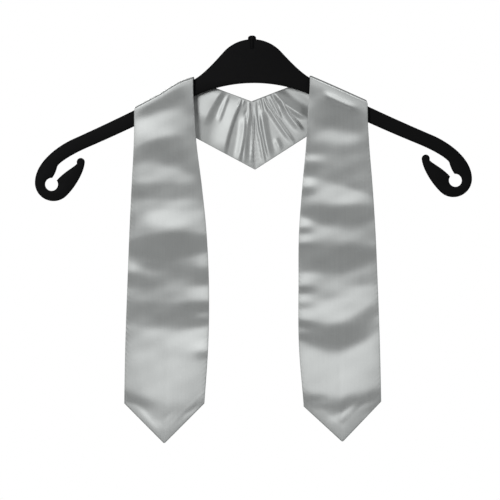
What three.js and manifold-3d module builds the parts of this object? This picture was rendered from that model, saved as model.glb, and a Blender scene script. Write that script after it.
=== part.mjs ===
// Child's graduation stole hung on a flat moulded hanger with curled ends.
// Millimetres, +Z up, the front of the stole towards -Y, the hanging point at the origin.
import * as THREE from "three";
import { mergeVertices } from "three/addons/utils/BufferGeometryUtils.js";
import Module from "manifold-3d";

const wasm = await Module();
wasm.setup();

// ---- Driving dimensions -------------------------------------------------------------------

const degrees = Math.PI / 180;

const hangerThickness = 7;
const hangerEdgeRadius = 1.6;
const hangerTilt = 0.57 * degrees; // the hanger hangs with its right end a little higher
const curveSteps = 6; // straight steps in each curved stretch of the hanger's outline

const dome = { top: -3.9, radius: 41, flank: 48 * degrees, lowerMiddle: -49.9, lowerRadius: 150 };
const arm = {
  topInner: { x: 62, z: -46 },
  topOuter: { x: 190, z: -107.3 },
  lowerInner: { x: 60, z: -62.4 },
  lowerOuter: { x: 172, z: -115 },
  sag: 1.4,
};
const curl = { x: 210, z: -152.4, radius: 19.4 };
const eye = { x: 212, z: -154.2, radius: 6.8 };
const finger = { x: 181.1, z: -131, radius: 4.2 };

const stud = { headRadius: 4.3, headHeight: 4.6, shankRadius: 4, length: 14.8, clearance: 0.3 };

const clothWall = 1.2;
const seamGap = 0.3;
const armClearance = 0.35;
const tipReach = 0.3; // share of the band over which the rows bend into the point
const seamHalfGap = 0.2; // half of the gap between the two halves at the centre back

const rows = { front: 34, corner: 3, back: 12 };
const columns = 8;

// Where each half's edges run. x is measured outwards from the middle, on either side.
// lifts: how far the fold stands above the arm, from the inner edge (0) to the outer edge (1).
// hem: heights of the band's two lower corners, and how far its point hangs below them.
// widths: the inner and outer edge of the front band at a height.
// folds: soft swells of the front band, crest height and half sizes in mm, across from 0 to 1.
const halves = [
  {
    side: "left",
    sign: -1,
    foldFront: { inner: 61.7, outer: 123.6 },
    foldBack: { inner: 60.6, outer: 117.5 },
    hem: { inner: -386, outer: -386, tipDrop: 42 },
    lifts: [
      { at: 0, lift: 0.4 },
      { at: 0.2, lift: 2.6 },
      { at: 0.6, lift: 0.9 },
      { at: 1, lift: 0.2 },
    ],
    widths: [
      { z: -44, inner: 61.7, outer: 123.4 },
      { z: -111, inner: 58.4, outer: 123.8 },
      { z: -158, inner: 52.6, outer: 126.2 },
      { z: -208, inner: 47.6, outer: 128.6 },
      { z: -259, inner: 45.2, outer: 130.6 },
      { z: -326, inner: 45.9, outer: 132.9 },
      { z: -386, inner: 49.9, outer: 133.9 },
    ],
    folds: [
      { z: -102, crest: 2.2, halfHeight: 15, across: 0.55, halfWidth: 0.75 },
      { z: -156, crest: 1.3, halfHeight: 9, across: 0.45, halfWidth: 0.6 },
      { z: -208, crest: 2.8, halfHeight: 19, across: 0.4, halfWidth: 0.7 },
      { z: -255, crest: 1.2, halfHeight: 11, across: 0.85, halfWidth: 0.35 },
      { z: -283, crest: 1.8, halfHeight: 12, across: 0.25, halfWidth: 0.4 },
      { z: -372, crest: 3, halfHeight: 30, across: 0.5, halfWidth: 0.9 },
    ],
  },
  {
    side: "right",
    sign: 1,
    foldFront: { inner: 60.6, outer: 121.2 },
    foldBack: { inner: 60.4, outer: 114.8 },
    hem: { inner: -389, outer: -384, tipDrop: 39.8 },
    lifts: [
      { at: 0, lift: 0.4 },
      { at: 0.3, lift: 1.6 },
      { at: 1, lift: 3.4 },
    ],
    widths: [
      { z: -44, inner: 59.4, outer: 120.2 },
      { z: -111, inner: 57, outer: 122.6 },
      { z: -158, inner: 52.8, outer: 126.4 },
      { z: -208, inner: 49.2, outer: 129.6 },
      { z: -259, inner: 48.8, outer: 131.8 },
      { z: -326, inner: 49.2, outer: 134.1 },
      { z: -386, inner: 54, outer: 135.4 },
    ],
    folds: [
      { z: -76, crest: 1.4, halfHeight: 9, across: 0.6, halfWidth: 0.4 },
      { z: -116, crest: 1, halfHeight: 8, across: 0.3, halfWidth: 0.5 },
      { z: -179, crest: 2.4, halfHeight: 13, across: 0.45, halfWidth: 0.7 },
      { z: -220, crest: 2.2, halfHeight: 11, across: 0.3, halfWidth: 0.6 },
      { z: -299, crest: 3, halfHeight: 17, across: 0.3, halfWidth: 0.7 },
      { z: -371, crest: 2.4, halfHeight: 22, across: 0.5, halfWidth: 0.9 },
    ],
  },
];

// The centre-back seam, and the gathers that fan out from its top. A gather's angle is measured
// from straight down, positive to the right. Its ridge stands out by crest, at its far end.
const backSeam = { top: { x: -0.6, z: -68.8 }, bottom: { x: 3.2, z: -140.7 } };
const backFullness = 1.6;
const gatherReach = 45;
const gathers = [
  { angle: -62, crest: 1.2, spread: 9 },
  { angle: -34, crest: 1.6, spread: 9 },
  { angle: -14, crest: 1.4, spread: 5 },
  { angle: 14, crest: 1.4, spread: 5 },
  { angle: 34, crest: 1.6, spread: 8 },
  { angle: 58, crest: 1.4, spread: 8 },
];

// ---- Materials ----------------------------------------------------------------------------

const satinFace = new THREE.MeshStandardMaterial({ color: 0xa9acab, roughness: 0.38, metalness: 0.15 });
const satinBacking = new THREE.MeshStandardMaterial({ color: 0xb4b6b4, roughness: 0.42, metalness: 0.15 });
const blackPlastic = new THREE.MeshStandardMaterial({ color: 0x101112, roughness: 0.5, metalness: 0 });

// ---- Small tools --------------------------------------------------------------------------

const lerp = THREE.MathUtils.lerp;

// Reads a table at a key, straight between its rows. Rows may run up or down in the key.
function readTable(table, key, column, value) {
  const rising = table[table.length - 1][key] > table[0][key];
  const ordered = rising ? table : [...table].reverse();
  if (value <= ordered[0][key]) return ordered[0][column];
  for (let i = 1; i < ordered.length; i++) {
    const low = ordered[i - 1];
    const high = ordered[i];
    if (value <= high[key]) {
      const share = (value - low[key]) / (high[key] - low[key]);
      return lerp(low[column], high[column], THREE.MathUtils.smoothstep(share, 0, 1) * 0.5 + share * 0.5);
    }
  }
  return ordered[ordered.length - 1][column];
}

function bell(distance, halfSize) {
  return Math.exp(-((distance / halfSize) ** 2));
}

// The signed volume tells whether a mesh's faces point out.
function signedVolume(points, faces) {
  const a = new THREE.Vector3();
  let six = 0;
  for (let i = 0; i < faces.length; i += 3) {
    a.crossVectors(points[faces[i]], points[faces[i + 1]]);
    six += a.dot(points[faces[i + 2]]);
  }
  return six / 6;
}

function geometryFrom(points, faces) {
  const outward = signedVolume(points, faces) > 0;
  const index = outward ? faces : [...faces].reverse();
  const geometry = new THREE.BufferGeometry().setFromPoints(points);
  geometry.setIndex(index);
  geometry.computeVertexNormals();
  return geometry;
}

// A closed wall between two grids of points of the same size.
function wallBetween(outerGrid, innerGrid) {
  const high = outerGrid.length;
  const wide = outerGrid[0].length;
  const points = [...outerGrid.flat(), ...innerGrid.flat()];
  const faces = [];
  const outer = (i, j) => i * wide + j;
  const inner = (i, j) => high * wide + i * wide + j;
  const quad = (a, b, c, d) => faces.push(a, b, c, a, c, d);
  for (let i = 0; i < high - 1; i++) {
    for (let j = 0; j < wide - 1; j++) {
      quad(outer(i, j), outer(i, j + 1), outer(i + 1, j + 1), outer(i + 1, j));
      quad(inner(i, j), inner(i + 1, j), inner(i + 1, j + 1), inner(i, j + 1));
    }
    quad(outer(i, 0), outer(i + 1, 0), inner(i + 1, 0), inner(i, 0));
    quad(outer(i, wide - 1), inner(i, wide - 1), inner(i + 1, wide - 1), outer(i + 1, wide - 1));
  }
  for (let j = 0; j < wide - 1; j++) {
    quad(outer(0, j), inner(0, j), inner(0, j + 1), outer(0, j + 1));
    quad(outer(high - 1, j), outer(high - 1, j + 1), inner(high - 1, j + 1), inner(high - 1, j));
  }
  return geometryFrom(points, faces);
}

function toManifold(geometry) {
  const bare = geometry.clone();
  bare.deleteAttribute("normal");
  bare.deleteAttribute("uv");
  const merged = mergeVertices(bare, 1e-4);
  const mesh = new wasm.Mesh({
    numProp: 3,
    vertProperties: new Float32Array(merged.attributes.position.array),
    triVerts: new Uint32Array(merged.index.array),
  });
  return new wasm.Manifold(mesh);
}

function fromManifold(solid) {
  const mesh = solid.getMesh();
  const geometry = new THREE.BufferGeometry();
  geometry.setAttribute("position", new THREE.BufferAttribute(new Float32Array(mesh.vertProperties), 3));
  geometry.setIndex(new THREE.BufferAttribute(new Uint32Array(mesh.triVerts), 1));
  geometry.computeVertexNormals();
  return geometry;
}

// ---- Hanger -------------------------------------------------------------------------------

// A slightly sagging edge between two ends: the middle lies `sag` below the straight line.
function saggingEdge(from, to, sag, x) {
  const t = (x - from.x) / (to.x - from.x);
  return lerp(from.z, to.z, t) - 4 * sag * t * (1 - t);
}

function sagControl(from, to, sag) {
  return { x: (from.x + to.x) / 2, z: (from.z + to.z) / 2 - 2 * sag };
}

// The right half of the hanger's outline, from the top of the dome round to its lower middle.
function hangerHalfOutline() {
  const path = new THREE.Path();
  const domeCentre = dome.top - dome.radius;
  const flankEnd = Math.PI / 2 - dome.flank;
  path.absarc(0, domeCentre, dome.radius, Math.PI / 2, flankEnd, true);
  const flank = { x: dome.radius * Math.cos(flankEnd), z: domeCentre + dome.radius * Math.sin(flankEnd) };
  const slope = -Math.tan(dome.flank);
  path.bezierCurveTo(flank.x + 12, flank.z + 12 * slope, arm.topInner.x - 9, arm.topInner.z + 4.7,
    arm.topInner.x, arm.topInner.z);
  const above = sagControl(arm.topInner, arm.topOuter, arm.sag);
  path.quadraticCurveTo(above.x, above.z, arm.topOuter.x, arm.topOuter.z);

  // Round the outside of the curl, up the finger and over its tip.
  const outside = curl.x + curl.radius;
  path.bezierCurveTo(arm.topOuter.x + 18, arm.topOuter.z - 8.4, outside, curl.z + 20, outside, curl.z);
  path.absarc(curl.x, curl.z, curl.radius, 0, -134 * degrees, true);
  path.bezierCurveTo(186.5, -156.7, 177.5, -141, finger.x - finger.radius, finger.z);
  path.absarc(finger.x, finger.z, finger.radius, Math.PI, -20 * degrees, true);

  // Down the inside of the finger, round the eye and up the slot's other side.
  path.lineTo(186.6, -135.6);
  path.quadraticCurveTo(199, -141, eye.x + eye.radius * Math.cos(144 * degrees),
    eye.z + eye.radius * Math.sin(144 * degrees));
  path.absarc(eye.x, eye.z, eye.radius, 144 * degrees, 95 * degrees, false);
  path.quadraticCurveTo(207.8, -143, 205.8, -135.2);
  path.bezierCurveTo(202.5, -130, 188, -121.6, arm.lowerOuter.x, arm.lowerOuter.z);
  const below = sagControl(arm.lowerOuter, arm.lowerInner, arm.sag);
  path.quadraticCurveTo(below.x, below.z, arm.lowerInner.x, arm.lowerInner.z);
  const lowerSpread = Math.asin(arm.lowerInner.x / dome.lowerRadius);
  path.absarc(0, dome.lowerMiddle - dome.lowerRadius, dome.lowerRadius,
    Math.PI / 2 - lowerSpread, Math.PI / 2, false);
  return path.getPoints(curveSteps);
}

function withoutRepeats(points) {
  return points.filter((point, i) => i === 0 || point.distanceTo(points[i - 1]) > 0.05);
}

function studProfile(grow) {
  const head = stud.headRadius + grow;
  const shank = stud.shankRadius + grow;
  const top = grow;
  return [
    new THREE.Vector2(0, -stud.length - grow),
    new THREE.Vector2(shank - 1.2, -stud.length - grow),
    new THREE.Vector2(shank, -stud.length + 1.2),
    new THREE.Vector2(shank, -stud.headHeight - 0.8),
    new THREE.Vector2(head, -stud.headHeight),
    new THREE.Vector2(head, -2.2),
    new THREE.Vector2(head - 1, -0.7),
    new THREE.Vector2(head - 2.4, top),
    new THREE.Vector2(0, top),
  ];
}

function studGeometry(grow) {
  const geometry = new THREE.LatheGeometry(studProfile(grow), 24);
  geometry.rotateX(Math.PI / 2); // the lathe's +Y axis becomes +Z
  return geometry;
}

function makeHanger() {
  const right = withoutRepeats(hangerHalfOutline());
  const left = right.slice(1, -1).reverse().map((point) => new THREE.Vector2(-point.x, point.y));
  const geometry = new THREE.ExtrudeGeometry(new THREE.Shape([...right, ...left]), {
    depth: hangerThickness - 2 * hangerEdgeRadius,
    bevelEnabled: true,
    bevelThickness: hangerEdgeRadius,
    bevelSize: hangerEdgeRadius,
    bevelOffset: -hangerEdgeRadius,
    bevelSegments: 2,
  });
  geometry.translate(0, 0, -(hangerThickness / 2 - hangerEdgeRadius));
  geometry.rotateX(Math.PI / 2); // the outline's y becomes z, and its front faces -Y
  const socket = toManifold(studGeometry(stud.clearance));
  const plate = new THREE.Mesh(fromManifold(toManifold(geometry).subtract(socket)), blackPlastic);
  plate.name = "hanger";
  const pin = new THREE.Mesh(studGeometry(0), blackPlastic);
  pin.name = "hook_stud";
  const group = new THREE.Group();
  group.rotation.y = -hangerTilt;
  group.add(plate, pin);
  return group;
}

// ---- Cloth --------------------------------------------------------------------------------

// Height of the tilted arm's top edge at a place across the hanger, x positive to the right.
function armTop(x) {
  const level = saggingEdge(arm.topInner, arm.topOuter, arm.sag, Math.abs(x));
  return level + x * Math.tan(hangerTilt);
}

const armSlope = Math.atan2(arm.topInner.z - arm.topOuter.z, arm.topOuter.x - arm.topInner.x);

// The way round the arm in cross-section: `depth` from its middle and `rise` from its top edge.
// `stand` is how far a surface stands off the arm.
function aroundArm(stand) {
  const centre = hangerThickness / 2 - hangerEdgeRadius;
  const radius = hangerEdgeRadius + armClearance + stand;
  const steps = [];
  for (let i = 0; i <= rows.corner; i++) {
    const turn = (i / rows.corner) * (Math.PI / 2);
    steps.push({ depth: -centre - radius * Math.cos(turn), rise: radius * Math.sin(turn) });
  }
  for (let i = 0; i <= rows.corner; i++) {
    const turn = (i / rows.corner) * (Math.PI / 2);
    steps.push({ depth: centre + radius * Math.sin(turn), rise: radius * Math.cos(turn) });
  }
  return steps.map((step) => ({ depth: step.depth, rise: (step.rise - hangerEdgeRadius) / Math.cos(armSlope) }));
}

function foldHeight(half, x, rise, t) {
  return armTop(half.sign * x) + rise + readTable(half.lifts, "at", "lift", t);
}

function frontSwell(half, z, t) {
  return half.folds.reduce(
    (sum, fold) => sum + fold.crest * bell(z - fold.z, fold.halfHeight) * bell(t - fold.across, fold.halfWidth), 0);
}

// One row of the front band. s runs from the hem (0) up to the arm (1).
function frontRow(half, s, stand) {
  const depth = hangerThickness / 2 + armClearance + stand;
  const edgeRise = -hangerEdgeRadius / Math.cos(armSlope);
  const point = THREE.MathUtils.smoothstep(1 - s, 1 - tipReach, 1);
  return Array.from({ length: columns + 1 }, (_, j) => {
    const t = j / columns;
    const foldX = lerp(half.foldFront.inner, half.foldFront.outer, t);
    const top = foldHeight(half, foldX, edgeRise, t);
    const hem = lerp(half.hem.inner, half.hem.outer, t);
    const level = lerp(hem, top, s);
    const edges = lerp(readTable(half.widths, "z", "inner", level), readTable(half.widths, "z", "outer", level), t);
    const x = lerp(edges, foldX, THREE.MathUtils.smoothstep(s, 0.88, 1));
    const z = level - half.hem.tipDrop * (1 - Math.abs(2 * t - 1)) * point;
    return new THREE.Vector3(half.sign * x, -depth - frontSwell(half, level, t), z);
  });
}

function armRow(half, step, share) {
  return Array.from({ length: columns + 1 }, (_, j) => {
    const t = j / columns;
    const front = lerp(half.foldFront.inner, half.foldFront.outer, t);
    const back = lerp(half.foldBack.inner, half.foldBack.outer, t);
    const x = lerp(front, back, share);
    return new THREE.Vector3(half.sign * x, step.depth, foldHeight(half, x, step.rise, t));
  });
}

function gatherSwell(x, z) {
  const right = x - backSeam.top.x;
  const down = backSeam.top.z - z;
  const angle = Math.atan2(right, down) / degrees;
  const reach = THREE.MathUtils.smoothstep(Math.hypot(right, down), 0, gatherReach);
  return reach * gathers.reduce((sum, gather) => sum + gather.crest * bell(angle - gather.angle, gather.spread), 0);
}

// One row of the back yoke. s runs from the arm (0) to the centre-back seam (1).
function backRow(half, s, stand) {
  const depth = hangerThickness / 2 + armClearance + stand;
  const edgeRise = -hangerEdgeRadius / Math.cos(armSlope);
  const calm = THREE.MathUtils.smoothstep(s, 0, 0.4);
  return Array.from({ length: columns + 1 }, (_, j) => {
    const t = j / columns;
    const startX = lerp(half.foldBack.inner, half.foldBack.outer, t);
    const startZ = foldHeight(half, startX, edgeRise, t);
    const endX = lerp(backSeam.top.x, backSeam.bottom.x, t) + half.sign * seamHalfGap;
    const endZ = lerp(backSeam.top.z, backSeam.bottom.z, t);
    const x = lerp(half.sign * startX, endX, s);
    const z = lerp(startZ, endZ, s);
    const swell = calm * (backFullness + gatherSwell(x, z));
    return new THREE.Vector3(x, depth + swell, z);
  });
}

// All the points of one half, from the pointed end over the arm to the centre back.
function halfGrid(half, stand) {
  const grid = [];
  for (let i = 0; i < rows.front; i++) grid.push(frontRow(half, i / rows.front, stand));
  const steps = aroundArm(stand);
  steps.forEach((step, i) => grid.push(armRow(half, step, i / (steps.length - 1))));
  for (let i = 1; i <= rows.back; i++) grid.push(backRow(half, i / rows.back, stand));
  return grid;
}

function makePanel(half, layer, stand, material) {
  const geometry = wallBetween(halfGrid(half, stand + clothWall), halfGrid(half, stand));
  const panel = new THREE.Mesh(geometry, material);
  panel.name = `${half.side}_${layer}`;
  return panel;
}

const stole = new THREE.Group();
stole.add(makeHanger());
for (const half of halves) {
  stole.add(makePanel(half, "backing", 0, satinBacking));
  stole.add(makePanel(half, "face", clothWall + seamGap, satinFace));
}

export default stole;
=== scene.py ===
"""A satin graduation stole hung on a flat moulded hanger.

Laid out as an add-on: the property groups hold the sizes and colours, each operator makes one
kind of piece, and the panel in the sidebar lists them. Run as a script it makes everything once.
Tables are in millimetres, x to the right, z up, with the hanging point at the origin. The front
of the stole faces -Y.
"""

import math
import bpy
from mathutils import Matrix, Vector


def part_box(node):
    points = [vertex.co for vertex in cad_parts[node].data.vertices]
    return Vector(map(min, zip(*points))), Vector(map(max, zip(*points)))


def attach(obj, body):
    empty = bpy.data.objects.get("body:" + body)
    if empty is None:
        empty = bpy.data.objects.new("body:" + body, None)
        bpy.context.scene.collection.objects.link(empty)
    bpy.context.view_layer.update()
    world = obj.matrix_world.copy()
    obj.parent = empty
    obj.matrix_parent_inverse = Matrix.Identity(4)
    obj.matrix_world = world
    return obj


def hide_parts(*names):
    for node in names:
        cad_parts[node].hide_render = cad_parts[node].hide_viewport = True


bl_info = {
    "name": "Graduation stole",
    "version": (1, 0, 0),
    "blender": (4, 5, 0),
    "location": "View3D > Sidebar > Stole",
    "description": "Makes a satin graduation stole hung on a black plastic hanger",
    "category": "Add Mesh",
}

from collections import namedtuple

import bpy
import numpy as np
from bpy.props import FloatProperty, FloatVectorProperty, PointerProperty
from mathutils import Vector

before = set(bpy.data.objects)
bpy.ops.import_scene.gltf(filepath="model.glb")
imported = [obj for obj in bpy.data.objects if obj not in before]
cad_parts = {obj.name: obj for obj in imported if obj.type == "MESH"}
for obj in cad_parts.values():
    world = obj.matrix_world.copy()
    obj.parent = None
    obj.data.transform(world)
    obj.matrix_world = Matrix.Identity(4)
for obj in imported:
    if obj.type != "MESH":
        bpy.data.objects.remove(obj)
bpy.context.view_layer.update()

MM = 0.001
BODY = "root"
GRAIN_MAP = "cloth_grain"
PAINTED_EDGE_SHADE = "edge_fade"

hanger_low, hanger_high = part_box("hanger")
HANGER_THICKNESS = hanger_high.y - hanger_low.y

# ---- The hanger's shape -------------------------------------------------------------------

HANGER_TILT = math.radians(0.57)  # the right end hangs a little higher
EDGE_RADIUS = 1.6
DOME_TOP, DOME_RADIUS, DOME_FLANK = -3.9, 41.0, math.radians(48)
LOWER_MIDDLE, LOWER_RADIUS = -49.9, 150.0
ARM_TOP = ((62.0, -46.0), (190.0, -107.3))
ARM_LOWER = ((60.0, -62.4), (172.0, -115.0))
ARM_SAG = 1.4
CURL, CURL_RADIUS = (210.0, -152.4), 19.4
EYE, EYE_RADIUS = (212.0, -154.2), 6.8
FINGER, FINGER_RADIUS = (181.1, -131.0), 4.2
CURVE_STEPS = 22

STUD_PROFILE = (
    (0.0, -14.8), (2.8, -14.8), (3.6, -14.3), (4.0, -13.4), (4.0, -5.6), (4.1, -5.0), (4.3, -4.5),
    (4.3, -2.4), (4.1, -1.6), (3.3, -0.7), (2.4, -0.2), (1.2, 0.0), (0.0, 0.0),
)
STUD_CLEARANCE = 0.15
STUD_STEPS = 48

# ---- The stole's shape --------------------------------------------------------------------

ARM_CLEARANCE = 0.35  # air between the backing and the arm
SEAM_STAND = 1.35  # from there to the seam plane, where backing and face meet
FOLD_DEPTH = 3.0  # how far the rounded fold reaches below its own crest
FOLD_POWER = 3.2  # the fold's back: 2 is an ellipse, more is squarer
FRONT_FOLD_POWER = 5.0  # the same for its front
FOLD_OVERHANG = 0.02  # how far the fold's front leans out, as a slope
FOLD_SAMPLES = 2000
FOLD_CALM = (2, 16)  # the swells come in over this stretch below the fold
SHOULDER_BLEND = 0.88  # from this share of the band's height its edges run over into the fold's
LINE_REACH = 0.4  # a line's end values lie this share of the width from the middle
LINE_ROUNDING = 8  # how often the cloth between the lines is evened out
SWELL_ROUNDING = 3  # how often the swells and creases are
SWELL_FOOT = 0.16  # how softly a swell runs out at its feet
TIP_REACH = 0.3  # the share of the band's height over which its rows turn into the point
HEM_END = (9.5, 12.5)  # the hem's turned-in cloth ends this far from the edge
HEM_LIFT = 0.04  # how far it lifts the cloth over it
STILL_BELOW = (-345, -300)  # under this height the cloth hangs almost smooth
STILL_SHARE = 0.3

# ---- The layers ---------------------------------------------------------------------------

LAYER_GAP = 0.04  # between a layer and the seam plane
PRESSED_EDGE = 0.1  # thickness left at a pressed edge
CROWN_REACH = 8
PUCKER_REACH = 4
EDGE_SHADE_REACH = 2.5  # how far the painted shade along an edge, and its rougher finish, reach in

Width = namedtuple("Width", "z inner outer")
Lift = namedtuple("Lift", "across lift")
Swell = namedtuple("Swell", "z rise above below across reach slant round")
Crease = namedtuple("Crease", "x0 z0 x1 z1 bow rise lit shaded")
Line = namedtuple("Line", "inner middle outer out_inner out_middle out_outer")
Half = namedtuple(
    "Half", "side sign fold_front fold_back hem tip_drop lifts widths lines swells creases"
)

# A lift is how far the fold's crest stands above the arm, across the band.
# A line runs across the band where its lean changes: its height near the inner edge, in the
# middle and near the outer edge, then how far the cloth stands out at each. Between lines the
# cloth is even.
# A swell is a soft fold added to that. z is its crest, where the bright side above it meets
# the dark side below. across runs from the inner edge, 0, to the outer edge, 1. slant is how
# much higher the crest ends at the outer edge, and round is the radius of its crest.
# A crease runs from one point to another, bowed to one side. The lit side is on the left of
# somebody who walks along it. A rise below zero makes it a furrow.
LEFT = Half(
    side="left",
    sign=-1,
    fold_front=(61.7, 123.6),
    fold_back=(60.6, 117.5),
    hem=(-386.0, -386.0),
    tip_drop=42.0,
    lifts=(Lift(0, 0.4), Lift(0.2, 2.6), Lift(0.6, 0.9), Lift(1, 0.2)),
    widths=(
        Width(-44, 61.7, 123.4),
        Width(-111, 58.4, 123.8),
        Width(-158, 52.6, 126.2),
        Width(-208, 47.6, 128.6),
        Width(-259, 45.2, 130.6),
        Width(-326, 45.9, 132.9),
        Width(-386, 49.9, 133.9),
    ),
    lines=(
        Line(-53, -62, -79, 6.0, 5.6, 3.6),
        Line(-76, -78, -84, 4.8, 4.2, 3.2),
        Line(-82, -83, -88, 4.5, 4.2, 3.2),
        Line(-103, -100, -108, 3.9, 4.65, 4.1),
        Line(-107, -107, -115, 3.8, 4.75, 4.2),
        Line(-140, -133, -132, 2.2, 2.7, 3.1),
        Line(-146, -138, -137, 1.8, 2.6, 3.0),
        Line(-155, -155, -155, 1.5, 3.1, 3.2),
        Line(-172, -172, -170, 0.9, 2.4, 2.3),
        Line(-184, -184, -184, 1.0, 2.8, 2.3),
        Line(-200, -200, -205, 1.9, 4.0, 2.3),
        Line(-208, -207, -213, 2.1, 4.1, 2.3),
        Line(-229, -234, -231, 0.4, 1.6, 0.8),
        Line(-242, -247, -240, 0.5, 1.0, 0.6),
        Line(-254, -255, -250, 0.2, 0.8, 1.0),
        Line(-263, -263, -264, 0.1, 0.7, 0.3),
        Line(-280, -281, -278, 1.4, 1.0, 0.5),
        Line(-292, -301, -286, 0.5, 0.2, 0.3),
        Line(-305, -308, -304, 0.2, 0.2, 0.1),
        Line(-331, -331, -331, 2.5, 2.0, 1.2),
        Line(-338, -338, -338, 2.7, 2.5, 1.6),
        Line(-384, -386, -376, 6.0, 6.2, 3.8),
        Line(-388, -391, -387, 6.1, 6.4, 3.6),
        Line(-428, -429, -428, 8.6, 8.8, 6.2),
    ),
    swells=(
        Swell(-244, 0.5, 13, 14, 0.06, 0.14, 0, 2),
        Swell(-297, 0.4, 5, 8, 0.06, 0.12, 0, 2),
        Swell(-331, 0.3, 10, 7, 0.04, 0.12, 0, 2),
    ),
    creases=(
        Crease(-134, -384, -118, -386.5, 0, -0.25, 5, 3),
        Crease(-120, -386, -100, -409, 1, -0.30, 14, 5),
        Crease(-101, -409.5, -83, -395, 0, -0.12, 4, 3),
        Crease(-74, -398.5, -57, -388, -1, -0.25, 3.5, 3.5),
        Crease(-79, -405, -71.5, -402.5, 0, -0.15, 2, 2),
    ),
)

RIGHT = Half(
    side="right",
    sign=1,
    fold_front=(60.6, 121.2),
    fold_back=(60.4, 114.8),
    hem=(-389.0, -384.0),
    tip_drop=39.8,
    lifts=(Lift(0, 0.4), Lift(0.3, 1.6), Lift(1, 3.4)),
    widths=(
        Width(-44, 59.4, 120.2),
        Width(-111, 57.0, 122.6),
        Width(-158, 52.8, 126.4),
        Width(-208, 49.2, 129.6),
        Width(-259, 48.8, 131.8),
        Width(-326, 49.2, 134.1),
        Width(-386, 54.0, 135.4),
    ),
    lines=(
        Line(-53, -62, -75, 6.0, 6.8, 6.0),
        Line(-66, -69, -80, 5.3, 6.8, 6.0),
        Line(-92, -96, -99, 3.8, 3.9, 4.6),
        Line(-99, -101, -104, 3.6, 3.7, 4.4),
        Line(-112, -112, -112, 3.2, 4.0, 4.3),
        Line(-116, -116, -117, 3.0, 3.9, 4.1),
        Line(-127, -124, -125, 2.4, 3.4, 3.7),
        Line(-133, -137, -143, 2.4, 3.2, 3.1),
        Line(-149, -152, -153, 1.5, 2.5, 2.8),
        Line(-154, -157, -166, 1.6, 2.4, 2.2),
        Line(-177, -176, -175.5, 1.6, 3.4, 2.6),
        Line(-181, -179.5, -178.5, 1.5, 3.4, 2.6),
        Line(-192, -198, -195, 0.7, 1.9, 1.4),
        Line(-196, -203, -199, 0.8, 1.8, 1.4),
        Line(-217, -216, -220, 1.6, 2.2, 1.5),
        Line(-220, -222, -223, 1.5, 2.1, 1.4),
        Line(-240, -243, -237, 0.5, 0.5, 0.4),
        Line(-248, -249, -243, 0.3, 0.3, 0.3),
        Line(-263, -263, -262, 0.6, 0.8, 0.4),
        Line(-277, -276, -273, 1.0, 1.4, 1.1),
        Line(-299, -301, -283, 2.6, 3.4, 1.8),
        Line(-303, -306, -297, 2.5, 3.4, 1.8),
        Line(-321, -326, -306, 1.9, 2.2, 1.8),
        Line(-328, -331, -314, 2.3, 2.2, 1.9),
        Line(-376, -380, -372, 6.5, 7.0, 6.1),
        Line(-380, -384, -377, 6.5, 7.0, 6.1),
        Line(-390, -393, -389, 6.4, 7.0, 5.8),
        Line(-428, -429, -428, 8.6, 9.2, 8.4),
    ),
    swells=(
        Swell(-132, 0.4, 6, 8, 0.08, 0.16, 0, 2),
        Swell(-159, 0.6, 8, 7, 0.06, 0.14, 0, 2),
        Swell(-201, 0.5, 7, 5, 0.05, 0.11, 0, 1.5),
        Swell(-263, 0.7, 12, 6, 0.05, 0.15, 0, 2),
        Swell(-279, 0.5, 8, 6, 0.04, 0.13, 0, 2),
        Swell(-302, 0.5, 14, 4, 0.03, 0.12, -4, 1.5),
        Swell(-313, 0.5, 7, 6, 0.03, 0.10, 0, 1.5),
        Swell(-218, 0.3, 8, 4, 0.04, 0.14, 0, 1.5),
    ),
    creases=(
        Crease(76, -60.5, 108, -76, -1, 1.2, 3.5, 5),
        Crease(55, -385.5, 79, -380.5, 0, -0.30, 4, 3),
        Crease(55.5, -389, 62.5, -387.5, 0, -0.20, 1.5, 1.5),
        Crease(62, -391, 88, -391.5, 0, -0.18, 3, 3),
        Crease(79, -402, 109, -383, -2, -0.45, 11, 5),
        Crease(109, -389.5, 134, -379.5, 0, -0.35, 8, 4),
        Crease(116, -398.5, 128, -391.5, 0, -0.15, 3, 3),
        Crease(91, -406.5, 102, -406, 0, -0.15, 3, 3),
    ),
)

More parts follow.
